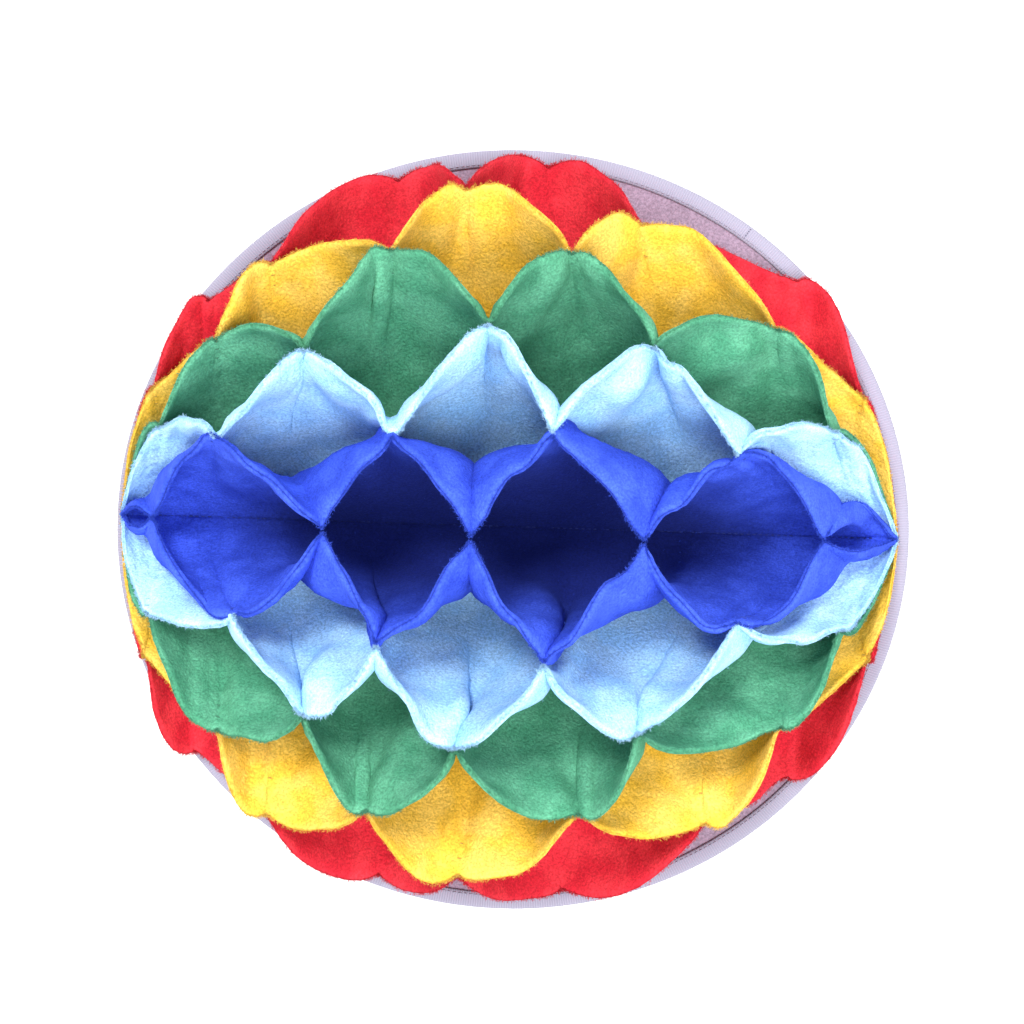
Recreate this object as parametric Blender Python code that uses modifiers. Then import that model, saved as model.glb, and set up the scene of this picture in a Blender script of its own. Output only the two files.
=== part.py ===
"""A snuffle mat: five round fleece discs stacked on a round bound base and sewn to it across one diameter.

That seam is the spine. Each half disc folds up at it as a page, and the rims of neighbouring pages are tacked
together at single points, by turns, so that the pages zigzag and leave open cells between them.
Metres, +X along the spine, +Z up. The origin is at the middle of the base's underside.
"""

import math
from collections import namedtuple

import bmesh
import bpy
from mathutils import Vector

MM = 0.001

# The base and its binding
BASE_ALONG = 210 * MM  # from the centre to the binding's outer edge, along the spine
BASE_ACROSS = 201.5 * MM  # the same, across the spine
BASE_FLEECE = 3 * MM
BINDING_WIDTH = 9 * MM
BINDING_UNDER = 1.3 * MM  # the knit's thickness under the base
BINDING_OVER = 2.2 * MM  # and over it, where it is fuller
BINDING_CORNER = 1.2 * MM
CLEARANCE = 0.3 * MM
TURNED_STEPS = 72

# The discs
DISC_RADIUS = 204 * MM
SPINE_MIDDLE = -2 * MM  # the discs are sewn on a little off the base's centre
OVER_BINDING = 4.2 * MM  # how far the discs rise where they reach over the binding
RISE_STARTS, RISE_ENDS = 0.88, 0.955  # where they do, as shares of the way from the centre to the base's edge
FLEECE = 2.4 * MM
SEWN_SHARE = 0.45  # of the fleece's thickness is left where the spine's seam presses it
SPINE_ACROSS = 4 * MM  # the seam's place across the base
SEAM_PITCH = 2.3 * MM  # from one disc to the next at the spine
SAG_FADE = 15 * MM  # pages shorter than this near the spine's ends hardly sag
STRAIGHT_SHARE = 0.8  # near the spine's ends, the controls' reach along the straight line to the rim
CONTROL_DRIFT = 0.7  # how far the controls follow the rim along the spine
SETTLED_SHARE = 0.75  # how far a page reaches once it has sagged, as a share of its flat width
END_STAGGER = 1.5 * MM
TACK_SHIFT = FLEECE / 2 + 2.3 * CLEARANCE  # from the plane of a gap to the middle of each page tacked there
FAN_MERGE = 40 * MM  # a rim nearer the spine than this runs down to its own disc's seam
FAN_HEIGHT = 9 * MM  # the line that leans and reaches are measured from, above the mat's underside
COLUMNS_A_LOBE = 4  # mesh columns between two tacks
ROWS_A_PAGE = 6

# One row a disc, from the middle of the mat outwards. A page leaves the spine flat for its seam width, then
# rises through a low and a high control point, each a lean from upright and a share of the rim's distance
# from the spine, which swing in and out with the tacks. end_lean is its rim's lean where it meets the spine's
# ends. lobe_round is how far the outward tips of its rim are rounded, from 0, pointed, to 1. rim_bow is how
# far its rim arches between tacks.
Disc = namedtuple(
    "Disc",
    "name colour seam_width end_lean low_lean low_reach high_lean high_reach swing lobe_round rim_bow",
)
DISCS = (
    Disc("disc_blue", (0.03, 0.07, 0.70), 6 * MM, 7, 38, 0.45, 30, 0.75, 0.7, 0.2, 8 * MM),
    Disc("disc_light_blue", (0.50, 0.72, 0.93), 9 * MM, 27, 60, 0.52, 47, 0.82, 0.7, 0.5, 8 * MM),
    Disc("disc_green", (0.08, 0.38, 0.20), 13.5 * MM, 49, 74.5, 0.62, 61, 0.90, 0.7, 0.8, 8 * MM),
    Disc("disc_yellow", (0.93, 0.58, 0.03), 17 * MM, 63, 81, 0.68, 72, 0.92, 0.7, 0.9, 8 * MM),
    Disc("disc_red", (0.62, 0.02, 0.05), 21.5 * MM, 79.5, 86.5, 0.72, 84, 0.94, 0.5, 1.0, 7 * MM),
)
LOW_SWING = 0.4  # a low control swings in and out with the tacks by this share of what the high one does
BASE_COLOUR = (0.80, 0.58, 0.80)
BINDING_COLOUR = (0.66, 0.62, 0.78)

# The tacks, a row for each gap and side. Gap g lies between disc g - 1 and disc g, counted from the middle of
# the mat: gap 0 joins the two pages of the innermost disc, and gap 5 has no tacks, only the places where the
# outermost disc's rim comes furthest out. A tack's place is its distance along the spine from the centre, and
# its reach is its distance from the spine, both in millimetres.
Gap = namedtuple("Gap", "number side lean places reaches")
GAPS = (
    Gap(0, +1, 0, (-182, -87, -19, 59, 153), (39, 108, 126, 115, 54)),
    Gap(0, -1, 0, (-182, -87, -19, 59, 153), (39, 108, 126, 115, 54)),
    Gap(1, +1, 22, (-137, -56, 16, 102), (111, 122, 126, 105)),
    Gap(1, -1, 22, (-128, -60, 15, 105), (104, 131, 143, 100)),
    Gap(2, +1, 40.5, (-175, -99, -14, 61, 153), (69, 129, 149, 135, 84)),
    Gap(2, -1, 40.5, (-178, -94, -24, 60, 163), (72, 133, 150, 139, 69)),
    Gap(3, +1, 55, (-147, -61, 23, 123), (107, 159, 161, 125)),
    Gap(3, -1, 55, (-140, -65, 35, 133), (122, 161, 159, 113)),
    Gap(4, +1, 67, (-184, -123, -28, 57, 174), (71, 137, 177, 163, 78)),
    Gap(4, -1, 67, (-185, -117, -22, 99, 183), (78, 154, 181, 153, 68)),
    Gap(5, +1, 88.5, (-162, -65, 12, 143), (112, 177, 186, 132)),
    Gap(5, -1, 88.5, (-163, -65, 32, 148), (123, 185, 190, 127)),
)
# Where the tacks are on a disc's flat rim, in degrees round it from the spine's +X end
EVEN_GAP_ANGLES = (161, 127, 95, 61, 22)
ODD_GAP_ANGLES = (144, 111, 78, 41)

# How far a page's rim arches outwards between two tacks, in degrees of lean, from its -X end to its +X end.
# The pages that aren't here don't arch.
Arches = namedtuple("Arches", "disc side degrees")
ARCHES = (
    Arches("disc_blue", +1, (6, 8, 0, 0, 0, 0, 0, 0, 5, 22)),
    Arches("disc_blue", -1, (6, 10, 2, 0, 0, 0, 0, 2, 5, 3)),
)

Knot = namedtuple("Knot", "angle place reach lean shift")


def principled(name, colour, roughness=0.9):
    material = bpy.data.materials.new(name)
    material.use_nodes = True
    shader = material.node_tree.nodes["Principled BSDF"]
    shader.inputs["Base Color"].default_value = (*colour, 1)
    shader.inputs["Roughness"].default_value = roughness
    shader.inputs["Metallic"].default_value = 0
    return material


def new_object(name, mesh, colour, collection):
    obj = bpy.data.objects.new(name, mesh)
    mesh.materials.append(principled(name, colour))
    collection.objects.link(obj)
    return obj


def spine_height(number):
    """The middle of disc `number` at the spine, above the surface that the mat lies on."""
    discs_below = len(DISCS) - 1 - number
    return BASE_FLEECE + CLEARANCE + FLEECE / 2 + discs_below * SEAM_PITCH


def page_arches(number, side):
    for row in ARCHES:
        if (row.disc, row.side) == (DISCS[number].name, side):
            return row.degrees
    return (0,) * (len(EVEN_GAP_ANGLES) + len(ODD_GAP_ANGLES) + 1)


def spine_end(number):
    """How far disc `number` reaches along the spine: the outer discs' ends are drawn in a little."""
    return DISC_RADIUS - (len(DISCS) - 1 - number) * END_STAGGER


def page_knots(number, side):
    """The tacks round one page's rim, from the spine's -X end to its +X end, with the spine's two ends."""
    knots = []
    for gap in GAPS:
        if gap.side != side or gap.number not in (number, number + 1):
            continue
        angles = ODD_GAP_ANGLES if gap.number % 2 else EVEN_GAP_ANGLES
        away = 1 if gap.number == number else -1
        for angle, place, reach in zip(angles, gap.places, gap.reaches):
            knots.append(Knot(angle, place * MM, reach * MM, gap.lean, away * TACK_SHIFT))
    knots.sort(key=lambda knot: -knot.angle)
    end_lean = DISCS[number].end_lean
    start = Knot(180, SPINE_MIDDLE - spine_end(number), 0, end_lean, 0)
    end = Knot(0, SPINE_MIDDLE + spine_end(number), 0, end_lean, 0)
    return [start, *knots, end]


def rim_point(disc, knots, arch, lobe, share):
    """(angle, place, reach, lean, shift) at a share of the way along a lobe, from one tack to the next."""
    one, two = knots[lobe], knots[lobe + 1]
    from_inner = share if one.lean <= two.lean else 1 - share
    at_spines_end = lobe in (0, len(knots) - 2)
    rounding = 0 if at_spines_end else disc.lobe_round
    eased = from_inner + rounding * (math.sin(math.pi / 2 * from_inner) - from_inner)
    if one.lean > two.lean:
        eased = 1 - eased
    middling = 4 * share * (1 - share)
    return Knot(
        one.angle + share * (two.angle - one.angle),
        one.place + share * (two.place - one.place),
        one.reach + eased * (two.reach - one.reach) + disc.rim_bow * middling,
        one.lean + eased * (two.lean - one.lean) + arch * middling,
        one.shift * (1 - share) ** 2 + two.shift * share**2,
    )


def leaning(side, lean, reach):
    """A step across and up from the spine, `reach` long, leaning `lean` degrees outwards from upright."""
    return Vector((0, side * math.sin(math.radians(lean)), math.cos(math.radians(lean)))) * reach


def over_binding(point):
    """How far the cloth rises here, to lie over the binding."""
    out = math.hypot(point.x / BASE_ALONG, point.y / BASE_ACROSS)
    share = min(1, max(0, (out - RISE_STARTS) / (RISE_ENDS - RISE_STARTS)))
    return OVER_BINDING * share * share * (3 - 2 * share)


def bezier(points, share):
    while len(points) > 1:
        points = [one.lerp(two, share) for one, two in zip(points, points[1:])]
    return points[0]


def folded_point(number, side, rim, up_share):
    """A point of a page: on the column that ends at `rim`, `up_share` of the way up from the spine."""
    disc = DISCS[number]
    along = SPINE_MIDDLE + spine_end(number) * math.cos(math.radians(rim.angle))
    seam = Vector((along, SPINE_ACROSS, spine_height(number)))
    outwards = leaning(side, rim.lean + 90, rim.shift)
    fan = Vector((rim.place, seam.y, FAN_HEIGHT))
    fan.z += (seam.z - FAN_HEIGHT) * max(0, 1 - rim.reach / FAN_MERGE)
    tip = fan + leaning(side, rim.lean, rim.reach) + outwards
    settled = SETTLED_SHARE * DISC_RADIUS * math.sin(math.radians(rim.angle))
    sag = settled / (settled + SAG_FADE)
    controls = [seam, seam + leaning(side, 90, disc.seam_width * sag)]
    leans = [gap.lean for gap in GAPS if gap.number in (number, number + 1)]
    swing = disc.swing * (rim.lean - (min(leans) + max(leans)) / 2)
    low_lean = disc.low_lean + LOW_SWING * swing
    for lean, share in ((low_lean, disc.low_reach), (disc.high_lean + swing, disc.high_reach)):
        sagged = seam + leaning(side, lean, share * settled)
        sagged.x += CONTROL_DRIFT * share * (tip.x - seam.x)
        controls.append(seam.lerp(tip, share * STRAIGHT_SHARE).lerp(sagged, sag))
    controls.append(tip)
    point = bezier(controls, up_share)
    point.z += over_binding(point)
    return point


def make_disc(number, collection):
    disc = DISCS[number]
    knots = {side: page_knots(number, side) for side in (+1, -1)}
    arches = {side: page_arches(number, side) for side in (+1, -1)}
    lobes = len(knots[+1]) - 1
    columns = lobes * COLUMNS_A_LOBE
    bm = bmesh.new()
    bmesh.ops.create_grid(bm, x_segments=columns, y_segments=2 * ROWS_A_PAGE, size=1)
    looseness = {}
    for vert in bm.verts:
        column = round((vert.co.x + 1) / 2 * columns)
        side = 1 if vert.co.y >= 0 else -1
        lobe = min(column // COLUMNS_A_LOBE, lobes - 1)
        share = column / COLUMNS_A_LOBE - lobe
        rim = rim_point(disc, knots[side], arches[side][lobe], lobe, share)
        up_share = abs(vert.co.y) ** 1.15
        from_end = (min(column, columns - column) - 1.5) / COLUMNS_A_LOBE
        looseness[vert.index] = min(1, max(0, from_end)) if up_share > 0.01 else 0
        vert.co = folded_point(number, side, rim, up_share)
    mesh = bpy.data.meshes.new(disc.name)
    bm.to_mesh(mesh)
    bm.free()
    obj = new_object(disc.name, mesh, disc.colour, collection)
    loose = obj.vertex_groups.new(name="loose")
    for index, weight in looseness.items():
        loose.add([index], weight, "REPLACE")
    weld = obj.modifiers.new("Ends of the spine", "WELD")
    weld.merge_threshold = 0.01 * MM
    thick = obj.modifiers.new("Fleece", "SOLIDIFY")
    thick.thickness = FLEECE
    thick.offset = 0
    thick.vertex_group = loose.name
    thick.thickness_vertex_group = SEWN_SHARE
    mesh.shade_smooth()
    return obj


def turned(name, profile, closed, colour, collection):
    """A ring or a plate turned about Z from (radius, height) points, drawn in to the base's width across."""
    mesh = bpy.data.meshes.new(name)
    edges = [(i, i + 1) for i in range(len(profile) - 1)]
    if closed:
        edges.append((len(profile) - 1, 0))
    mesh.from_pydata([(radius, 0, height) for radius, height in profile], edges, [])
    obj = new_object(name, mesh, colour, collection)
    screw = obj.modifiers.new("Turn", "SCREW")
    screw.steps = screw.render_steps = TURNED_STEPS
    screw.use_merge_vertices = True
    screw.merge_threshold = 0.01 * MM
    obj.scale = (1, BASE_ACROSS / BASE_ALONG, 1)
    return obj


def make_base(collection):
    """Its rim is pinched to lie between the two legs of the binding."""
    edge = BASE_ALONG - BINDING_UNDER - CLEARANCE
    raised = BINDING_UNDER + CLEARANCE
    bend = BASE_ALONG - BINDING_WIDTH - CLEARANCE
    profile = [
        (0, BASE_FLEECE),
        (edge, BASE_FLEECE),
        (edge, raised),
        (bend, raised),
        (bend - raised, 0),
        (0, 0),
    ]
    return turned("base", profile, False, BASE_COLOUR, collection)


def make_binding(collection):
    """A strip folded over the base's edge."""
    outer = BASE_ALONG
    inner = outer - BINDING_WIDTH
    wall = outer - BINDING_UNDER
    over = BASE_FLEECE + CLEARANCE
    top = over + BINDING_OVER
    corner = BINDING_CORNER
    profile = [
        (inner, top - corner / 2),
        (inner + corner, top),
        (outer - 2.5 * corner, top),
        (outer - 0.7 * corner, top - 0.7 * corner),
        (outer, top - 2 * corner),
        (outer, 1.5 * corner),
        (outer - 0.4 * corner, 0.4 * corner),
        (outer - 1.5 * corner, 0),
        (inner, 0),
        (inner, BINDING_UNDER),
        (wall, BINDING_UNDER),
        (wall, over),
        (inner, over),
    ]
    return turned("binding", profile, True, BINDING_COLOUR, collection)


def main():
    for obj in list(bpy.data.objects):
        bpy.data.objects.remove(obj)
    collection = bpy.data.collections.new("Snuffle mat")
    bpy.context.scene.collection.children.link(collection)
    make_base(collection)
    make_binding(collection)
    for number in range(len(DISCS)):
        make_disc(number, collection)


main()
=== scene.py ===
"""Dresses the snuffle mat: fleece discs folded into pages, a bound fleece base, their seams and tacks."""

import math
from collections import namedtuple

import bpy
import numpy as np
from mathutils import Matrix, Vector, noise

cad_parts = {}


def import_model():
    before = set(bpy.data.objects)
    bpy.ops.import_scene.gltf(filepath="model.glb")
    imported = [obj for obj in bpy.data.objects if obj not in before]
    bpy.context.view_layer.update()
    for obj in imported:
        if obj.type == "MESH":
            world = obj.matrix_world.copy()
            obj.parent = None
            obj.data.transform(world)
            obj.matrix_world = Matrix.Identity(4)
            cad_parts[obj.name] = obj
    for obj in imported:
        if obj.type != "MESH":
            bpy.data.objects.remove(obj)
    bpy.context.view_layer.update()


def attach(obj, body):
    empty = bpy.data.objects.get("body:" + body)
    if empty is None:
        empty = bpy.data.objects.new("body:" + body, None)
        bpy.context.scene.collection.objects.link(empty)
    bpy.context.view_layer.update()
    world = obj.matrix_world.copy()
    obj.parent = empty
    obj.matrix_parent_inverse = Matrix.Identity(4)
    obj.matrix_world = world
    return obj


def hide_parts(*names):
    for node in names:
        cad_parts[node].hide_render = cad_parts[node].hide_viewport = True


MM = 0.001
SEED = 7

# The base and its binding, as in the CAD model
BASE_ALONG = 210 * MM
BASE_ACROSS = 201.5 * MM
BASE_FLEECE = 3 * MM
BINDING_WIDTH = 9 * MM
CLEARANCE = 0.3 * MM

# The discs, as in the CAD model
DISC_RADIUS = 204 * MM
SOLID_FLEECE = 2.4 * MM  # the thickness of the CAD model's discs; here each disc has its own, in FLEECES
SPINE_MIDDLE = -2 * MM  # where the spine's middle is, along X
SPINE_ACROSS = 4 * MM  # and along Y
SEAM_PITCH = 2.3 * MM  # from one disc to the next at the spine
OVER_BINDING = 4.2 * MM  # how far the cloth rises to lie over the binding
RISE_STARTS, RISE_ENDS = 0.88, 0.955  # between which shares of the base's width it does so
SAG_FADE = 15 * MM  # a page whose cloth is much shorter than this doesn't sag
STRAIGHT_SHARE = 0.8  # how far up a page that doesn't sag its controls lie, as a share of a sagging page's
CONTROL_DRIFT = 0.7  # how much the controls move along the spine with the rim
SETTLED_SHARE = 0.75  # how much of a page's cloth its sagging controls span
FAN_HEIGHT = 9 * MM  # the height from which the tacks' reaches are measured
FAN_MERGE = 40 * MM  # reaches shorter than this are measured from nearer the spine's height

# Where the dressed discs differ from the CAD model's, and what they add
END_STAGGER = 0.7 * MM  # how much shorter each disc's spine is, at each end, than that of the disc outside it
TACK_SHIFT = 0.7 * MM  # how far the middle of a page stays from each of its tacks
SEWN_SHARE = 0.45  # of a disc's thickness is left at the spine's seam
SEAM_SIDE, END_SIDE = 9 * MM, 14 * MM  # how far from the seam and from the spine's ends it is whole again
MOST_PRESSED = 0.3  # the least share of its thickness that is left anywhere
TACK_PINCH = 0.55  # the share of its thickness that a tack leaves
PINCH_WIDTH = 8 * MM  # and how far from the tack that reaches
END_BOW = 6 * MM  # how much further the rims bow out next to the spine's ends, but for the innermost disc
RIM_WAVE = 18 * MM  # the size of the waves in a rim between its tacks
RIM_RAGGED = 2.5 * MM  # how far the rim is cut in and out of true
RIM_WAVY = 4  # and how far it leans in and out, in degrees
UNEVEN_SIZE, UNEVEN_DEPTH = 30 * MM, 3.5 * MM  # of the soft waves in every page
HELD_WIDTH = 60 * MM  # those waves fade out within this distance of the spine
NAP_SIZE, NAP_DEPTH = 3.2 * MM, 0.5 * MM  # of the small unevenness in every surface of the fleece
LOW_SWING = 0.4  # how much a low control swings in and out with the tacks, as a share of the high one
COLUMNS_A_LOBE = 14
TACK_CROWDING = 0.75  # how much the mesh columns crowd towards the tacks
ROWS_A_PAGE = 24
ROW_CROWDING = 1.05  # how much the mesh rows crowd towards the spine, as a power

# `seam_width` is how far a page lies flat beside the seam. The leans are in degrees off upright, at the
# spine's ends and of a page's low and high controls, and the reaches are shares of its settled length.
# `swing` is how much the high control follows the tacks in and out, `lobe_round` how round the rim is
# between two tacks and `rim_bow` how far it bows out there.
Disc = namedtuple(
    "Disc",
    "name seam_width end_lean low_lean low_reach high_lean high_reach swing lobe_round rim_bow",
)
DISCS = (
    Disc("disc_blue", 6 * MM, 7, 38, 0.45, 30, 0.75, 0.7, 0.2, 8 * MM),
    Disc("disc_light_blue", 9 * MM, 27, 60, 0.52, 47, 0.82, 0.7, 0.5, 8 * MM),
    Disc("disc_green", 13.5 * MM, 49, 74.5, 0.62, 61, 0.90, 0.7, 0.8, 8 * MM),
    Disc("disc_yellow", 17 * MM, 63, 81, 0.68, 72, 0.92, 0.7, 0.9, 8 * MM),
    Disc("disc_red", 21.5 * MM, 79.5, 86.5, 0.72, 84, 0.94, 0.5, 1.0, 7 * MM),
)

# Where neighbouring pages are tacked to each other. Gap 0 is between the innermost disc's two pages, and
# gap 5 only gives the outermost rim's shape. `side` is the pages' side of the spine and `lean` their lean
# there, in degrees. For each tack, `places` says where it is along the spine and `reaches` how far it is
# from there, in mm.
Gap = namedtuple("Gap", "number side lean places reaches")
GAPS = (
    Gap(0, +1, 0, (-182, -87, -19, 59, 153), (39, 108, 126, 115, 54)),
    Gap(0, -1, 0, (-182, -87, -19, 59, 153), (39, 108, 126, 115, 54)),
    Gap(1, +1, 22, (-137, -56, 16, 102), (111, 122, 126, 105)),
    Gap(1, -1, 22, (-128, -60, 15, 105), (104, 131, 143, 100)),
    Gap(2, +1, 40.5, (-175, -99, -14, 61, 153), (69, 129, 149, 135, 84)),
    Gap(2, -1, 40.5, (-178, -94, -24, 60, 163), (72, 133, 150, 139, 69)),
    Gap(3, +1, 55, (-147, -61, 23, 123), (107, 159, 161, 125)),
    Gap(3, -1, 55, (-140, -65, 35, 133), (122, 161, 159, 113)),
    Gap(4, +1, 67, (-184, -123, -28, 57, 174), (71, 137, 177, 163, 78)),
    Gap(4, -1, 67, (-185, -117, -22, 99, 183), (78, 154, 181, 153, 68)),
    Gap(5, +1, 88.5, (-162, -65, 12, 143), (112, 177, 186, 132)),
    Gap(5, -1, 88.5, (-163, -65, 32, 148), (123, 185, 190, 127)),
)
EVEN_GAP_ANGLES = (161, 127, 95, 61, 22)  # where the tacks are on the flat discs' rims, in degrees from +X
ODD_GAP_ANGLES = (144, 111, 78, 41)

# How far a page's rim arches outwards between two tacks, in degrees of lean, from its -X end to its +X end.
# The pages that aren't here don't arch.
Arches = namedtuple("Arches", "disc side degrees")
ARCHES = (
    Arches("disc_blue", +1, (6, 11, 0, 0, 0, 0, 0, 0, 12, 28)),
    Arches("disc_blue", -1, (6, 14, 3, 0, 0, 0, 0, 4, 12, 3)),
    Arches("disc_light_blue", +1, (7, -2, 0, 0, 0, 0, 0, 0, 0, 9)),
    Arches("disc_light_blue", -1, (7, -2, 0, 0, 0, 0, 0, 0, -2, 8)),
)

Knot = namedtuple("Knot", "angle place reach lean shift")

# The crease that each tack pulls down its pages, a row for each disc. The crease itself stays where the
# fold is, and the cloth stands off it on both sides: inwards by `outer` below the disc's outer tacks, and
# outwards by `inner` below its inner ones, most at `width` from the crease. All in mm. It heads for the
# disc's centre by `turn` of the way, and otherwise straight for the spine.
TackCrease = namedtuple("TackCrease", "disc outer inner width length turn")
TACK_CREASES = (
    TackCrease("disc_blue", 4.0, 3.0, 11, 170, 0.1),
    TackCrease("disc_light_blue", 3.0, 3.5, 10, 150, 0.2),
    TackCrease("disc_green", 2.5, 3.5, 10, 130, 0.3),
    TackCrease("disc_yellow", 2.5, 3.0, 10, 100, 0.5),
    TackCrease("disc_red", 0.0, 3.0, 10, 70, 0.3),
)
CREASE_BEGINS = 0.22  # the share of a crease's length over which the cloth beside it comes off it
CREASE_ROUND = 0.4  # how round the fold in a crease is, as a share of its width
CREASE_NARROW, CREASE_WIDENS = 0.5, 0.8  # its width where it starts, as a share, and how much that grows

# Further creases, a row each: on which disc and side, from where to where on the flat disc (mm along and
# across the spine), how far the cloth stands off them on their -X side and on their +X side, and how wide
# they are
Crease = namedtuple("Crease", "disc side from_x from_y to_x to_y left right width")
CREASES = (
    Crease("disc_blue", +1, -123, 160, -115, 70, 5, 3, 12),
    Crease("disc_blue", -1, -73, 188, -56, 50, 11, 5, 14),
    Crease("disc_blue", -1, 42, 198, 30, 50, 12, 5, 14),
    Crease("disc_light_blue", +1, -120, 160, -84, 80, 12, 5, 19),
    Crease("disc_light_blue", +1, -14, 192, -62, 80, 13, 0, 17),
    Crease("disc_light_blue", +1, -4, 196, 30, 90, 0, 9, 12),
    Crease("disc_light_blue", +1, 94, 172, 52, 80, 12, 0, 15),
    Crease("disc_light_blue", +1, 102, 170, 88, 80, 0, 6, 12),
    Crease("disc_light_blue", -1, -123, 163, -90, 70, 5, 12, 15),
    Crease("disc_light_blue", -1, -18, 200, 6, 80, 13, 6, 15),
    Crease("disc_light_blue", -1, 99, 176, 54, 70, 4, 10, 15),
    Crease("disc_green", +1, -73, 188, -52, 95, 9, 3, 15),
    Crease("disc_green", +1, 40, 196, 0, 95, 11, 0, 13),
    Crease("disc_green", +1, 47, 196, 64, 115, 0, 6, 12),
    Crease("disc_green", +1, 150, 130, 88, 74, 10, 2, 14),
    Crease("disc_green", -1, -73, 186, -44, 95, 4, 7, 12),
    Crease("disc_green", -1, 42, 196, 20, 95, 7, 3, 13),
    Crease("disc_green", -1, 150, 132, 100, 80, 6, 3, 12),
    Crease("disc_yellow", +1, -150, 138, -108, 92, 7, 2, 11),
    Crease("disc_yellow", +1, -20, 196, -34, 140, 5, 3, 12),
    Crease("disc_yellow", +1, 98, 174, 62, 125, 7, 3, 12),
    Crease("disc_yellow", -1, 98, 174, 60, 115, 3, 7, 11),
    Crease("disc_yellow", -1, -18, 198, -8, 130, 5, 3, 12),
    Crease("disc_yellow", -1, -122, 160, -90, 115, 6, 3, 10),
)

# How thick each fleece is at its cut edge (mm), its lit and its shaded colour, the knit core that shows in
# that edge, the painted shade colour that its pages take on low in the pockets, how long its fibres are (mm),
# and how much of that painted shade the pages take on
Fleece = namedtuple("Fleece", "name thick lit shade core low fuzz lowers")
FLEECES = (
    Fleece(
        "disc_blue", 4.4, (0.048, 0.100, 0.66), (0.030, 0.066, 0.50),
        (0.012, 0.022, 0.20), (0.006, 0.010, 0.10), 0.9, 0.92,
    ),
    Fleece(
        "disc_light_blue", 4.2, (0.41, 0.68, 0.94), (0.31, 0.59, 0.91),
        (0.30, 0.57, 0.90), (0.20, 0.48, 0.86), 1.1, 0.25,
    ),
    Fleece(
        "disc_green", 3.3, (0.100, 0.33, 0.20), (0.060, 0.245, 0.14),
        (0.06, 0.24, 0.13), (0.04, 0.19, 0.10), 0.9, 0.4,
    ),
    Fleece(
        "disc_yellow", 3.3, (0.82, 0.50, 0.095), (0.75, 0.42, 0.042),
        (0.70, 0.38, 0.03), (0.62, 0.30, 0.015), 0.9, 0.5,
    ),
    Fleece(
        "disc_red", 3.1, (0.60, 0.032, 0.048), (0.49, 0.016, 0.031),
        (0.42, 0.012, 0.022), (0.36, 0.01, 0.02), 1.0, 0.4,
    ),
    Fleece("base", 3.0, (0.29, 0.21, 0.285), (0.26, 0.19, 0.255), (0.3, 0.2, 0.3), (0.3, 0.2, 0.3), 0.8, 0),
)
# The low colour is painted shade, which grows the further a page lies below its rim
POCKET_SHADE_STARTS, POCKET_SHADE_ENDS = 0.01, 0.11  # how far below the rim the low colour starts and is full, in m

# The loose fibres, in tufts
EDGE_TUFTS, FACE_TUFTS, TUFT_FIBRES = 5500, 3000, 4
FIBRE_WIDTH = 0.22 * MM
FUZZ_LEAST, FUZZ_MOST = 0.6, 1.6  # the shortest and the longest fibre, as shares of a fleece's own
FACE_FUZZ = 0.6  # how long the faces' fibres are, as a share of the edges'
TUFT_SPREAD, FIBRE_SPREAD = 0.4 * MM, 0.3 * MM  # how far a tuft is off its place, and a fibre off its tuft's
TUFT_LEAN, FIBRE_LEAN = 0.5, 0.3  # how much a tuft leans off the surface's normal, and a fibre off its tuft
TUFT_DEPTH = 0.15 * MM  # how deep the tufts are rooted
# The fibres' darker colour is painted shade, against the light that the rims catch
FIBRE_SHADE = 0.66  # a fibre's colour, as a share of the lit one

# The stitches
SEAM_STITCH, BINDING_STITCH = 3.2 * MM, 3 * MM
TACK_REACH, TACK_TILT = 1.8 * MM, 0.3 * MM  # how far a tack's stitches reach to each side, along X and up
STITCH_CORNERS = 6
STITCH_RINGS = (  # the share along a stitch, its rise there and its thickness there, by its full thickness
    (0, -0.4, 0.5),
    (0.2, 0.5, 1),
    (0.5, 0.8, 1),
    (0.8, 0.5, 1),
    (1, -0.4, 0.5),
)
JOIN_TURN = 55  # where the ends of the binding meet, in degrees
# The stitches across that join run through these spots: mm in from the binding's edge, and mm up
JOIN_SPOTS = ((8.0, 5.0), (6.6, 5.4), (5.2, 5.5), (3.8, 5.4), (2.4, 5.1), (1.0, 4.4))
RIBS_TURN = 970.0  # the binding's ribs pass by at this many radians for each radian round it

# The camera
CAMERA_PLACE = (-0.0009, 0.0423, 0.816)
CAMERA_TARGET = (-0.0009, 0.011, 0)
CAMERA_ROLL = -1.86  # in degrees
CAMERA_HALF_WIDTH, CAMERA_FOCAL = 512, 1535  # in the picture's pixels


def spine_height(number):
    """The height of the disc's middle at the spine."""
    discs_below = len(DISCS) - 1 - number
    return BASE_FLEECE + CLEARANCE + SOLID_FLEECE / 2 + discs_below * SEAM_PITCH


def page_arches(number, side):
    """How far each of a page's lobes arches, in degrees."""
    for row in ARCHES:
        if (row.disc, row.side) == (DISCS[number].name, side):
            return row.degrees
    return (0,) * (len(EVEN_GAP_ANGLES) + len(ODD_GAP_ANGLES) + 1)


def spine_end(number):
    """How far the disc's spine reaches from its middle."""
    return DISC_RADIUS - (len(DISCS) - 1 - number) * END_STAGGER


def page_knots(number, side):
    """The page's tacks and the spine's ends, as knots of its rim, from the -X end to the +X end."""
    knots = []
    for gap in GAPS:
        if gap.side != side or gap.number not in (number, number + 1):
            continue
        angles = ODD_GAP_ANGLES if gap.number % 2 else EVEN_GAP_ANGLES
        away = 1 if gap.number == number else -1
        for angle, place, reach in zip(angles, gap.places, gap.reaches):
            knots.append(Knot(angle, place * MM, reach * MM, gap.lean, away * TACK_SHIFT))
    knots.sort(key=lambda knot: -knot.angle)
    end_lean = DISCS[number].end_lean
    start = Knot(180, SPINE_MIDDLE - spine_end(number), 0, end_lean, 0)
    end = Knot(0, SPINE_MIDDLE + spine_end(number), 0, end_lean, 0)
    return [start, *knots, end]


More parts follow.
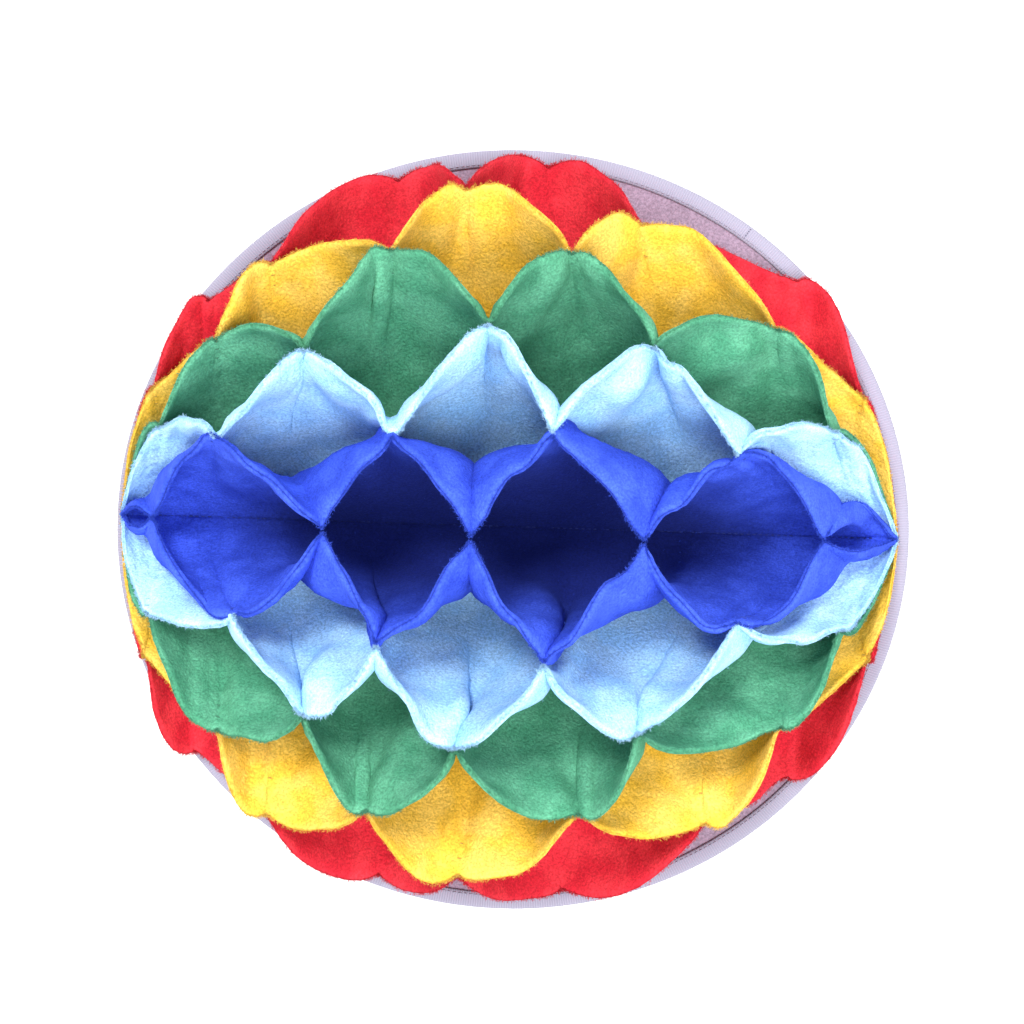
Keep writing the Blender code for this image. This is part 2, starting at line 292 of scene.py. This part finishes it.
def rim_point(disc, knots, arch, lobe, share):
    """The rim at this share of the way from one knot to the next."""
    one, two = knots[lobe], knots[lobe + 1]
    from_inner = share if one.lean <= two.lean else 1 - share
    at_spines_end = lobe in (0, len(knots) - 2)
    rounding = 0 if at_spines_end else disc.lobe_round
    bow = disc.rim_bow + (END_BOW if at_spines_end and disc != DISCS[0] else 0)
    eased = from_inner + rounding * (math.sin(math.pi / 2 * from_inner) - from_inner)
    if one.lean > two.lean:
        eased = 1 - eased
    middling = 4 * share * (1 - share)
    return Knot(
        one.angle + share * (two.angle - one.angle),
        one.place + share * (two.place - one.place),
        one.reach + eased * (two.reach - one.reach) + bow * middling,
        one.lean + eased * (two.lean - one.lean) + arch * middling,
        one.shift * (1 - share) ** 2 + two.shift * share**2,
    )


def leaning(side, lean, reach):
    """Steps of this reach, leaning to the side by this many degrees off upright."""
    lean = np.radians(lean)
    step = np.stack([np.zeros_like(lean), side * np.sin(lean), np.cos(lean)], axis=-1)
    return step * np.asarray(reach)[..., None]


def lerp(one, two, share):
    share = np.asarray(share)[..., None] if np.ndim(share) else share
    return one + (two - one) * share


def over_binding(points):
    """How far the cloth rises at these points, to lie over the binding."""
    out = np.hypot(points[..., 0] / BASE_ALONG, points[..., 1] / BASE_ACROSS)
    share = np.clip((out - RISE_STARTS) / (RISE_ENDS - RISE_STARTS), 0, 1)
    return OVER_BINDING * share * share * (3 - 2 * share)


def blurred(values, width):
    """A running mean over this many neighbours on each side, applied twice."""
    for _ in range(2):
        padded = np.pad(values, width, mode="edge")
        values = np.convolve(padded, np.ones(2 * width + 1) / (2 * width + 1), mode="valid")
    return values


def page_points(number, side, ups):
    """(columns, rows, 3) points of a page, and their places on the flat disc, in metres."""
    disc = DISCS[number]
    knots = page_knots(number, side)
    arches = page_arches(number, side)
    lobes = len(knots) - 1
    rims = []
    for column in range(lobes * COLUMNS_A_LOBE + 1):
        lobe = min(column // COLUMNS_A_LOBE, lobes - 1)
        share = column / COLUMNS_A_LOBE - lobe
        share -= math.sin(2 * math.pi * share) * TACK_CROWDING / (2 * math.pi)
        rim = rim_point(disc, knots, arches[lobe], lobe, share)
        spot = Vector((math.radians(rim.angle) * DISC_RADIUS / RIM_WAVE, 3.1 * number, side))
        free = 4 * share * (1 - share)
        ragged = rim.reach + free * RIM_RAGGED * noise.noise(spot)
        wavy = rim.lean + free * RIM_WAVY * noise.noise(spot + Vector((0, 0, 9)))
        rims.append(rim._replace(reach=ragged, lean=wavy))
    angle, place, reach, lean, shift = (np.array(values) for values in zip(*rims))
    along = SPINE_MIDDLE + spine_end(number) * np.cos(np.radians(angle))
    width = np.sin(np.radians(angle))
    count = len(rims)
    seam = np.stack(
        [along, np.full(count, SPINE_ACROSS), np.full(count, spine_height(number))], axis=-1
    )
    fan_z = FAN_HEIGHT + (spine_height(number) - FAN_HEIGHT) * np.clip(1 - reach / FAN_MERGE, 0, 1)
    fan = np.stack([place, seam[:, 1], fan_z], axis=-1)
    tip = fan + leaning(side, lean, reach) + leaning(side, lean + 90, shift)
    settled = SETTLED_SHARE * DISC_RADIUS * width
    sag = settled / (settled + SAG_FADE)
    controls = [seam, seam + leaning(side, np.full(count, 90.0), disc.seam_width * sag)]
    tack_leans = [knot.lean for knot in knots[1:-1]]
    swing = disc.swing * (lean - (min(tack_leans) + max(tack_leans)) / 2)
    soft_swing = LOW_SWING * blurred(swing, COLUMNS_A_LOBE // 2)
    rows = (
        (disc.low_lean + soft_swing, disc.low_reach),
        (disc.high_lean + swing, disc.high_reach),
    )
    for at_lean, share in rows:
        sagged = seam + leaning(side, at_lean, share * settled)
        sagged[:, 0] += CONTROL_DRIFT * share * (tip[:, 0] - seam[:, 0])
        straight = lerp(seam, tip, share * STRAIGHT_SHARE)
        controls.append(lerp(straight, sagged, sag))
    controls.append(tip)
    layers = [np.repeat(control[:, None, :], len(ups), axis=1) for control in controls]
    share = ups[None, :, None]
    while len(layers) > 1:
        layers = [one + (two - one) * share for one, two in zip(layers, layers[1:])]
    layers[0][..., 2] += over_binding(layers[0])
    flat = np.stack(
        [np.repeat(DISC_RADIUS * np.cos(np.radians(angle))[:, None], len(ups), axis=1),
         side * DISC_RADIUS * width[:, None] * ups[None, :]],
        axis=-1,
    )
    return layers[0], flat


def disc_grid(number):
    """The disc's points and flat places: columns along the spine, rows from the -Y rim to the +Y rim."""
    ups = np.linspace(0, 1, ROWS_A_PAGE + 1) ** ROW_CROWDING
    far, far_flat = page_points(number, +1, ups)
    near, near_flat = page_points(number, -1, ups)
    points = np.concatenate([near[:, :0:-1], far], axis=1)
    flat = np.concatenate([near_flat[:, :0:-1], far_flat], axis=1)
    return points, flat


def grid_normals(points):
    """Unit normals of a grid of points, towards each page's upper, inner face."""
    along = np.gradient(points, axis=0)
    across = np.gradient(points, axis=1)
    normal = np.cross(along, across)
    length = np.linalg.norm(normal, axis=-1, keepdims=True)
    return normal / np.maximum(length, 1e-9)


def beside_crease(flat, start, end, left, right, width):
    """How far the cloth stands off one crease at each flat place: not at all on it, and most beside it.

    `left` and `right` are how far it does on the crease's -X side and on its +X side.
    """
    step = end - start
    turn = step[0] * (flat[..., 1] - start[1]) - step[1] * (flat[..., 0] - start[0])
    height = np.where(turn * step[1] > 0, left, right)
    share = np.clip(((flat - start) @ step) / (step @ step), 0, 1)
    away = np.linalg.norm(flat - start - share[..., None] * step, axis=-1)
    spread = away / (width * (CREASE_NARROW + CREASE_WIDENS * share))
    spread = np.hypot(spread, CREASE_ROUND) - CREASE_ROUND
    begun = np.clip(share / CREASE_BEGINS, 0, 1)
    along = begun * (2 - begun) * np.cos(np.pi / 2 * share)
    return height * along * spread * np.exp(1 - spread)


def tack_places(number, side):
    """Where the tacks are on the disc's flat rim, each with its knot."""
    for knot in page_knots(number, side)[1:-1]:
        turn = math.radians(knot.angle)
        yield knot, DISC_RADIUS * np.array([math.cos(turn), side * math.sin(turn)])


def creased(number, points, flat):
    """The points with their creases, and made a little uneven between them."""
    normals = grid_normals(points)
    raised = np.zeros(points.shape[:2])
    disc, row = DISCS[number], TACK_CREASES[number]
    for side in (+1, -1):
        on_page = flat[..., 1] * side >= 0
        for knot, start in tack_places(number, side):
            heading = row.turn * -start / DISC_RADIUS + (1 - row.turn) * np.array([0, -side])
            end = start + heading * row.length * MM * abs(start[1]) / DISC_RADIUS
            height = (row.outer if knot.shift < 0 else -row.inner) * MM
            raised += on_page * beside_crease(flat, start, end, height, height, row.width * MM)
    for crease in CREASES:
        if disc.name == crease.disc:
            start = np.array([crease.from_x, crease.side * crease.from_y]) * MM
            end = np.array([crease.to_x, crease.side * crease.to_y]) * MM
            on_page = flat[..., 1] * crease.side >= 0
            left, right, width = crease.left * MM, crease.right * MM, crease.width * MM
            raised += on_page * beside_crease(flat, start, end, left, right, width)
    for place in np.ndindex(raised.shape):
        held = min(1, abs(flat[place][1]) / HELD_WIDTH)
        raised[place] += UNEVEN_DEPTH * held * noise.noise(Vector(points[place] / UNEVEN_SIZE))
    return points + normals * raised[..., None]


def thickness_shares(number, flat):
    """The fleece's thickness at each flat place, as a share: less at the seam, its ends and the tacks."""
    along, across = np.abs(flat[..., 0]), np.abs(flat[..., 1])
    shares = np.minimum(1, across / SEAM_SIDE) * np.clip((DISC_RADIUS - along) / END_SIDE, 0, 1)
    shares = SEWN_SHARE + (1 - SEWN_SHARE) * shares
    for side in (+1, -1):
        for _, tack in tack_places(number, side):
            away = np.linalg.norm(flat - tack, axis=-1)
            shares *= 1 - (1 - TACK_PINCH) * np.exp(-((away / PINCH_WIDTH) ** 2))
    return shares


def sheet_mesh(name, points):
    """A mesh of the grid of points, whose first and last columns are each one point: the spine's ends."""
    columns, rows = points.shape[:2]
    first, last = (columns - 2) * rows, (columns - 2) * rows + 1
    corners = np.concatenate([points[1:-1].reshape(-1, 3), points[:1, 0], points[-1:, 0]])
    faces = []
    for row in range(rows - 1):
        for column in range(columns - 3):
            corner = column * rows + row
            faces.append((corner, corner + rows, corner + rows + 1, corner + 1))
        far = (columns - 3) * rows + row
        faces.append((first, row, row + 1))
        faces.append((far, last, far + 1))
    mesh = bpy.data.meshes.new(name)
    mesh.from_pydata([tuple(corner) for corner in corners], [], faces)
    return mesh


def link(name, mesh):
    obj = bpy.data.objects.new(name, mesh)
    bpy.context.scene.collection.objects.link(obj)
    return obj


def evaluated_mesh(obj):
    graph = bpy.context.evaluated_depsgraph_get()
    return bpy.data.meshes.new_from_object(obj.evaluated_get(graph))


def vertex_array(mesh, attribute="co"):
    values = np.empty(len(mesh.vertices) * 3, np.float32)
    mesh.vertices.foreach_get(attribute, values)
    return values.reshape(-1, 3).astype(float)


def roughened(points, normals, size, depth, seed):
    """Points moved along their normals by smooth noise of this size and depth."""
    moved = np.empty_like(points)
    for index, (point, normal) in enumerate(zip(points, normals)):
        value = noise.noise(Vector(point / size) + Vector((seed * 17.3, seed * 5.1, 0)))
        moved[index] = point + normal * (depth * value)
    return moved


def make_disc(number):
    """The disc's fleece and its fibres. Gives the points of the sheet that it was made from."""
    disc, look = DISCS[number], FLEECES[number]
    points, flat = disc_grid(number)
    points = creased(number, points, flat)
    mesh = sheet_mesh(disc.name + "_sheet", points)
    sheet = link(disc.name + "_sheet", mesh)
    shares = (thickness_shares(number, flat) - MOST_PRESSED) / (1 - MOST_PRESSED)
    loose = sheet.vertex_groups.new(name="loose")
    for index, share in enumerate([*shares[1:-1].ravel(), 0, 0]):
        loose.add([index], float(min(1, max(0, share))), "REPLACE")
    half = len(mesh.vertices)
    thick = sheet.modifiers.new("Fleece", "SOLIDIFY")
    thick.thickness = look.thick * MM
    thick.offset = 0
    thick.vertex_group = loose.name
    thick.thickness_vertex_group = MOST_PRESSED
    thick.use_rim = True
    solid = evaluated_mesh(sheet)
    bpy.data.objects.remove(sheet)
    across = solid.attributes.new("across", "FLOAT", "POINT")
    sides = np.ones(len(solid.vertices), np.float32)
    sides[half:] = -1
    across.data.foreach_set("value", sides)
    down = DISC_RADIUS - np.linalg.norm(flat[1:-1].reshape(-1, 2), axis=1)
    below = np.zeros(len(solid.vertices), np.float32)
    below[: len(down)] = below[half : half + len(down)] = down
    solid.attributes.new("below_rim", "FLOAT", "POINT").data.foreach_set("value", below)
    obj = link(disc.name + "_fleece", solid)
    smooth = obj.modifiers.new("Smooth", "SUBSURF")
    smooth.levels = smooth.render_levels = 1
    smooth.boundary_smooth = "PRESERVE_CORNERS"
    fine = evaluated_mesh(obj)
    obj.modifiers.clear()
    obj.data = fine
    moved = roughened(vertex_array(fine), vertex_array(fine, "normal"), NAP_SIZE, NAP_DEPTH, number)
    fine.vertices.foreach_set("co", moved.astype(np.float32).ravel())
    fine.shade_smooth()
    fine.materials.clear()
    fine.materials.append(fleece_material(look))
    pile = make_pile(disc.name + "_pile", fine, look, number)
    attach(obj, "root")
    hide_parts(disc.name)
    return points


def make_pile(name, fleece, look, number):
    """Loose fibres, a triangle each, thickest along the cut edge."""
    rng = np.random.default_rng(SEED + number)
    across = np.empty(len(fleece.vertices), np.float32)
    fleece.attributes["across"].data.foreach_get("value", across)
    points, normals = vertex_array(fleece), vertex_array(fleece, "normal")
    ends = np.empty(len(fleece.edges) * 2, np.int32)
    fleece.edges.foreach_get("vertices", ends)
    ends = ends.reshape(-1, 2)
    beside = np.abs(across[ends])
    rim, face = ends[(beside < 0.9).all(axis=1)], ends[(beside >= 0.9).all(axis=1)]
    pairs = np.concatenate([rng.choice(rim, EDGE_TUFTS), rng.choice(face, FACE_TUFTS)])
    share = rng.uniform(0, 1, (len(pairs), 1))
    middle, normal = (lerp(of[pairs[:, 0]], of[pairs[:, 1]], share[:, 0]) for of in (points, normals))
    length = look.fuzz * rng.uniform(FUZZ_LEAST, FUZZ_MOST, len(pairs)) * MM
    length[EDGE_TUFTS:] *= FACE_FUZZ
    way = normal + TUFT_LEAN * rng.normal(0, 1, middle.shape)
    middle += rng.normal(0, TUFT_SPREAD, middle.shape) - normal * TUFT_DEPTH
    length = np.repeat(length, TUFT_FIBRES)
    way = np.repeat(way, TUFT_FIBRES, axis=0) + FIBRE_LEAN * rng.normal(0, 1, (len(length), 3))
    way /= np.linalg.norm(way, axis=1, keepdims=True)
    root = np.repeat(middle, TUFT_FIBRES, axis=0) + rng.normal(0, FIBRE_SPREAD, way.shape)
    side = np.cross(way, rng.normal(0, 1, way.shape))
    side *= FIBRE_WIDTH / 2 / np.linalg.norm(side, axis=1, keepdims=True)
    corners = np.stack([root - side, root + side, root + way * length[:, None]], axis=1).reshape(-1, 3)
    mesh = bpy.data.meshes.new(name)
    faces = [(first, first + 1, first + 2) for first in range(0, len(corners), 3)]
    mesh.from_pydata([tuple(corner) for corner in corners], [], faces)
    mesh.materials.append(pile_material(look))
    obj = link(name, mesh)
    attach(obj, "root")
    return obj


def pile_material(look):
    material = plain_material(look.name + "_pile", tuple(FIBRE_SHADE * value for value in look.lit), 1.0, 900)
    shader = material.node_tree.nodes["Principled BSDF"]
    shader.inputs["Specular IOR Level"].default_value = 0
    return material


def node(tree, kind, inputs=None, **settings):
    made = tree.nodes.new(kind)
    for key, value in settings.items():
        setattr(made, key, value)
    for key, value in (inputs or {}).items():
        if isinstance(value, bpy.types.NodeSocket):
            tree.links.new(value, made.inputs[key])
        else:
            made.inputs[key].default_value = value
    return made


def mixed(tree, share, one, two):
    """A mix of two colours, each given as a value or as a socket."""
    mix = node(tree, "ShaderNodeMix", data_type="RGBA")
    for index, value in ((0, share), (6, one), (7, two)):
        if isinstance(value, bpy.types.NodeSocket):
            tree.links.new(value, mix.inputs[index])
        else:
            mix.inputs[index].default_value = (*value, 1) if index else value
    return mix.outputs[2]


def ranged(tree, value, low, high, to_low=0.0, to_high=1.0):
    inputs = {"Value": value, "From Min": low, "From Max": high, "To Min": to_low, "To Max": to_high}
    return node(tree, "ShaderNodeMapRange", inputs, interpolation_type="SMOOTHSTEP").outputs[0]


def fleece_material(look):
    material = bpy.data.materials.new(look.name + "_fleece")
    material.use_nodes = True
    tree = material.node_tree
    shader = tree.nodes["Principled BSDF"]
    place = node(tree, "ShaderNodeTexCoord").outputs["Object"]
    broad = node(tree, "ShaderNodeTexNoise", {"Vector": place, "Scale": 60, "Detail": 3}).outputs["Fac"]
    nubs = node(
        tree, "ShaderNodeTexNoise", {"Vector": place, "Scale": 850, "Detail": 4, "Roughness": 0.75}
    ).outputs["Fac"]
    clumps = node(
        tree, "ShaderNodeTexVoronoi", {"Vector": place, "Scale": 330}, feature="DISTANCE_TO_EDGE"
    ).outputs["Distance"]
    patchy = mixed(tree, ranged(tree, broad, 0.35, 0.65), look.shade, look.lit)
    below = node(tree, "ShaderNodeAttribute", attribute_name="below_rim").outputs["Fac"]
    # Painted shade: the pages take on the darker low colour deep below the rim, in the pockets
    pocket_shaded = mixed(tree, ranged(tree, below, POCKET_SHADE_STARTS, POCKET_SHADE_ENDS, 0, look.lowers), patchy, look.low)
    across = node(tree, "ShaderNodeAttribute", attribute_name="across").outputs["Fac"]
    distance = node(tree, "ShaderNodeMath", {0: across}, operation="ABSOLUTE").outputs[0]
    cored = mixed(tree, ranged(tree, distance, 0.05, 0.45, 0.7, 0), pocket_shaded, look.core)
    pile = ranged(tree, nubs, 0.34, 0.64, 0.74, 1.20)
    # Painted shade: the cut edge is a tenth darker than the faces, against the overhead light it catches; the
    # clumps are the pile's own parting
    painted_edge_shade = ranged(tree, distance, 0.5, 0.95, 0.9, 1.0)
    clumped = ranged(tree, clumps, 0.0, 0.16, 0.90, 1.0)
    clumps_and_edge_shade = node(tree, "ShaderNodeMath", {0: clumped, 1: painted_edge_shade}, operation="MULTIPLY").outputs[0]
    grain_and_edge_shade = node(tree, "ShaderNodeMath", {0: pile, 1: clumps_and_edge_shade}, operation="MULTIPLY").outputs[0]
    shaded = node(tree, "ShaderNodeVectorMath", {0: cored}, operation="SCALE")
    tree.links.new(grain_and_edge_shade, shaded.inputs["Scale"])
    tree.links.new(shaded.outputs[0], shader.inputs["Base Color"])
    shader.inputs["Roughness"].default_value = 0.95
    shader.inputs["Specular IOR Level"].default_value = 0.1
    shader.inputs["Sheen Weight"].default_value = 0.15
    shader.inputs["Sheen Roughness"].default_value = 0.5
    shader.inputs["Sheen Tint"].default_value = (*look.lit, 1)
    height = node(tree, "ShaderNodeMath", {0: nubs, 1: clumps}, operation="ADD").outputs[0]
    bump = node(tree, "ShaderNodeBump", {"Height": height, "Strength": 0.6, "Distance": 0.8 * MM})
    tree.links.new(bump.outputs[0], shader.inputs["Normal"])
    return material


def turned_mesh(name, profile, steps, closed):
    """A ring or plate round Z from (radius, height) points, drawn in to the base's width across."""
    squeeze = BASE_ACROSS / BASE_ALONG
    count = len(profile)
    points = []
    for step in range(steps):
        turn = 2 * math.pi * step / steps
        for radius, height in profile:
            points.append((radius * math.cos(turn), radius * math.sin(turn) * squeeze, height))
    faces = []
    for step in range(steps):
        following = (step + 1) % steps
        for index in range(count if closed else count - 1):
            after = (index + 1) % count
            here, there = step * count, following * count
            faces.append((here + index, there + index, there + after, here + after))
    mesh = bpy.data.meshes.new(name)
    mesh.from_pydata(points, [], faces)
    return mesh


def make_base():
    edge = BASE_ALONG - 1.6 * MM
    shares = (0.001, 0.1, 0.2, 0.3, 0.4, 0.5, 0.6, 0.7, 0.78, 0.84, 0.88, 0.91, 0.935)
    rings = [edge * share for share in shares]
    bend = BASE_ALONG - BINDING_WIDTH - CLEARANCE
    top = [(radius, BASE_FLEECE) for radius in rings] + [(bend, BASE_FLEECE), (edge, BASE_FLEECE)]
    under = [(edge, 1.6 * MM), (bend, 1.6 * MM), (bend - 1.6 * MM, 0), (0.1 * MM, 0)]
    mesh = turned_mesh("base_fleece", top + under, 256, False)
    across = mesh.attributes.new("across", "FLOAT", "POINT")
    across.data.foreach_set("value", np.ones(len(mesh.vertices), np.float32))
    obj = link("base_fleece", mesh)
    mesh.shade_smooth()
    mesh.materials.append(fleece_material(FLEECES[-1]))
    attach(obj, "root")
    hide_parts("base")
    return obj


def make_binding():
    outer = BASE_ALONG
    inner = outer - BINDING_WIDTH
    profile = [
        (inner + 0.2 * MM, 3.02 * MM),
        (inner - 0.2 * MM, 4.1 * MM),
        (inner + 0.5 * MM, 4.9 * MM),
        (inner + 2.2 * MM, 5.4 * MM),
        (inner + 4.5 * MM, 5.5 * MM),
        (inner + 6.8 * MM, 5.1 * MM),
        (outer - 0.8 * MM, 4.2 * MM),
        (outer, 2.9 * MM),
        (outer - 0.1 * MM, 1.3 * MM),
        (outer - 1.0 * MM, 0.25 * MM),
        (outer - 2.4 * MM, 0),
        (inner, 0),
        (inner, 1.3 * MM),
        (outer - 1.3 * MM, 1.35 * MM),
        (outer - 1.3 * MM, 3.25 * MM),
    ]
    mesh = turned_mesh("binding_knit", profile, 512, True)
    obj = link("binding_knit", mesh)
    mesh.shade_smooth()
    mesh.materials.append(knit_material())
    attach(obj, "root")
    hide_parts("binding")
    return obj


def stitches(name, starts, ends, ups, thick, colour):
    """Short arched stitches from each start to its end, raised towards `ups`."""
    starts, ends, ups = (np.array(values, float) for values in (starts, ends, ups))
    side = np.cross(ends - starts, ups)
    side /= np.linalg.norm(side, axis=1, keepdims=True)
    rings = []
    for share, rise, fat in STITCH_RINGS:
        middle = starts + (ends - starts) * share + ups * rise * thick
        for corner in range(STITCH_CORNERS):
            turn = 2 * math.pi * corner / STITCH_CORNERS
            rings.append(middle + (side * math.cos(turn) + ups * math.sin(turn)) * fat * thick / 2)
    points = np.stack(rings, axis=1)
    faces = []
    for number in range(len(points)):
        first = number * len(rings)
        for ring in range(len(STITCH_RINGS) - 1):
            for corner in range(STITCH_CORNERS):
                one = first + ring * STITCH_CORNERS + corner
                two = first + ring * STITCH_CORNERS + (corner + 1) % STITCH_CORNERS
                faces.append((one, two, two + STITCH_CORNERS, one + STITCH_CORNERS))
        faces.append(tuple(range(first + STITCH_CORNERS - 1, first - 1, -1)))
        faces.append(tuple(range(first + len(rings) - STITCH_CORNERS, first + len(rings))))
    mesh = bpy.data.meshes.new(name)
    mesh.from_pydata([tuple(point) for point in points.reshape(-1, 3)], [], faces)
    mesh.shade_smooth()
    mesh.materials.append(thread_material(name, colour))
    obj = link(name, mesh)
    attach(obj, "root")
    return obj


def thread_material(name, colour):
    material = plain_material(name, colour, 0.7, 700)
    tree = material.node_tree
    place = node(tree, "ShaderNodeTexCoord").outputs["Object"]
    twist = node(tree, "ShaderNodeTexNoise", {"Vector": place, "Scale": 2600}).outputs["Fac"]
    bump = node(tree, "ShaderNodeBump", {"Height": twist, "Strength": 0.6, "Distance": 0.2 * MM})
    tree.links.new(bump.outputs[0], tree.nodes["Principled BSDF"].inputs["Normal"])
    return material


def make_spine_seam():
    """The stitches that show along the spine, in the middle of the innermost disc."""
    reach = spine_end(0) - 8 * MM
    starts = np.arange(-reach, reach, SEAM_STITCH)
    height = spine_height(0) + FLEECES[0].thick * MM * SEWN_SHARE / 2
    places = [(SPINE_MIDDLE + start, SPINE_ACROSS, height) for start in starts]
    ends = [(along + 0.72 * SEAM_STITCH, across, up) for along, across, up in places]
    ups = [(0, 0, 1)] * len(places)
    stitches("spine_seam", places, ends, ups, 0.7 * MM, (0.02, 0.035, 0.20))


def make_tacks(sheets):
    """Two stitches through each tack, seen on the inner page."""
    for number, (disc, points) in enumerate(zip(DISCS[:-1], sheets)):
        normals = grid_normals(points)
        starts, ends, ups = [], [], []
        for side in (+1, -1):
            for index, knot in enumerate(page_knots(number, side)):
                if knot.shift >= 0:
                    continue
                for row in (2, 3):
                    place = (index * COLUMNS_A_LOBE, -row if side > 0 else row - 1)
                    up = normals[place]
                    middle = points[place] + up * FLEECES[number].thick * MM * TACK_PINCH / 2
                    starts.append(middle - np.array([TACK_REACH, 0, TACK_TILT]))
                    ends.append(middle + np.array([TACK_REACH, 0, TACK_TILT]))
                    ups.append(up)
        colour = tuple(0.45 * value for value in FLEECES[number].lit)
        stitches(disc.name + "_tacks", starts, ends, ups, 0.6 * MM, colour)


def make_binding_seam():
    """The row of stitches that holds the binding's upper leg."""
    starts, ends = [], []
    steps = round(2 * math.pi * BASE_ALONG / BINDING_STITCH)
    along, across = (half - BINDING_WIDTH + 1.6 * MM for half in (BASE_ALONG, BASE_ACROSS))
    for step in range(steps):
        one, two = (2 * math.pi * (step + share) / steps for share in (0, 0.7))
        starts.append((along * math.cos(one), across * math.sin(one), 5.3 * MM))
        ends.append((along * math.cos(two), across * math.sin(two), 5.3 * MM))
    ups = [(0, 0, 1)] * steps
    stitches("binding_seam", starts, ends, ups, 0.5 * MM, (0.34, 0.32, 0.42))


def make_binding_join():
    """The stitches across the binding, where the ends of its strip meet."""
    turn = math.radians(JOIN_TURN)
    squeeze = BASE_ACROSS / BASE_ALONG
    spots = []
    for inwards, height in JOIN_SPOTS:
        radius = BASE_ALONG - inwards * MM
        spots.append(Vector((radius * math.cos(turn), radius * math.sin(turn) * squeeze, height * MM)))
    ends = [one.lerp(two, 0.8) for one, two in zip(spots, spots[1:])]
    ups = [(0, 0, 1)] * len(ends)
    stitches("binding_join", spots[:-1], ends, ups, 0.6 * MM, (0.16, 0.15, 0.22))


def knit_material():
    material = bpy.data.materials.new("rib_knit")
    material.use_nodes = True
    tree = material.node_tree
    shader = tree.nodes["Principled BSDF"]
    place = node(tree, "ShaderNodeTexCoord").outputs["Object"]
    split = node(tree, "ShaderNodeSeparateXYZ", {"Vector": place})
    across, along = split.outputs[1], split.outputs[0]
    turn = node(tree, "ShaderNodeMath", {0: across, 1: along}, operation="ARCTAN2").outputs[0]
    wave = node(tree, "ShaderNodeMath", {0: turn, 1: RIBS_TURN}, operation="MULTIPLY").outputs[0]
    rib = node(tree, "ShaderNodeMath", {0: wave}, operation="SINE").outputs[0]
    # Painted shade: the troughs between the ribs, low in the bump, take the darker colour
    colour = mixed(tree, ranged(tree, rib, -1, 0.6), (0.275, 0.262, 0.345), (0.315, 0.30, 0.39))
    tree.links.new(colour, shader.inputs["Base Color"])
    shader.inputs["Roughness"].default_value = 0.9
    shader.inputs["Specular IOR Level"].default_value = 0.15
    shader.inputs["Sheen Weight"].default_value = 0.15
    bump = node(tree, "ShaderNodeBump", {"Height": rib, "Strength": 0.5, "Distance": 0.4 * MM})
    tree.links.new(bump.outputs[0], shader.inputs["Normal"])
    return material


def plain_material(name, colour, roughness=0.9, scale=300):
    """A matt material whose colour varies a little, at this scale."""
    material = bpy.data.materials.new(name)
    material.use_nodes = True
    tree = material.node_tree
    shader = tree.nodes["Principled BSDF"]
    place = node(tree, "ShaderNodeTexCoord").outputs["Object"]
    patches = node(tree, "ShaderNodeTexNoise", {"Vector": place, "Scale": scale}).outputs["Fac"]
    varied = mixed(tree, ranged(tree, patches, 0.35, 0.65), tuple(0.86 * value for value in colour), colour)
    tree.links.new(varied, shader.inputs["Base Color"])
    shader.inputs["Roughness"].default_value = roughness
    shader.inputs["Specular IOR Level"].default_value = 0.2
    return material


def aimed(obj, place, target, up):
    place = Vector(place)
    forward = (Vector(target) - place).normalized()
    right = forward.cross(Vector(up)).normalized()
    turn = Matrix((right, right.cross(forward), -forward)).transposed().to_4x4()
    obj.matrix_world = Matrix.Translation(place) @ turn


def make_camera():
    data = bpy.data.cameras.new("camera")
    data.angle = 2 * math.atan(CAMERA_HALF_WIDTH / CAMERA_FOCAL)
    camera = bpy.data.objects.new("camera", data)
    bpy.context.scene.collection.objects.link(camera)
    roll = math.radians(CAMERA_ROLL)
    aimed(camera, CAMERA_PLACE, CAMERA_TARGET, (math.sin(roll), math.cos(roll), 0))
    bpy.context.scene.camera = camera


def area_light(name, place, size, watts, target=(0, 0, 0.04)):
    data = bpy.data.lights.new(name, "AREA")
    data.energy = watts
    data.size = size
    light = bpy.data.objects.new(name, data)
    bpy.context.scene.collection.objects.link(light)
    aimed(light, place, target, (0, 0, 1))


def make_stage():
    mesh = bpy.data.meshes.new("floor")
    wide = 4
    corners = [(-wide, -wide, 0), (wide, -wide, 0), (wide, wide, 0), (-wide, wide, 0)]
    mesh.from_pydata(corners, [], [(0, 1, 2, 3)])
    floor = link("floor", mesh)
    floor.location.z = -0.2 * MM
    mesh.materials.append(plain_material("floor", (0.95, 0.95, 0.95)))
    world = bpy.data.worlds.new("world")
    bpy.context.scene.world = world
    world.use_nodes = True
    world.node_tree.nodes["Background"].inputs[0].default_value = (1, 1, 1, 1)
    world.node_tree.nodes["Background"].inputs[1].default_value = 1.0
    area_light("key", (-0.35, 0.66, 1.42), 0.4, 25.5)
    area_light("fill", (0.30, -0.42, 1.45), 0.9, 31)


def main():
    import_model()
    sheets = [make_disc(number) for number in range(len(DISCS))]
    make_base()
    make_binding()
    make_spine_seam()
    make_tacks(sheets)
    make_binding_seam()
    make_binding_join()
    make_stage()
    make_camera()
    bpy.context.scene.view_settings.view_transform = "Standard"


main()
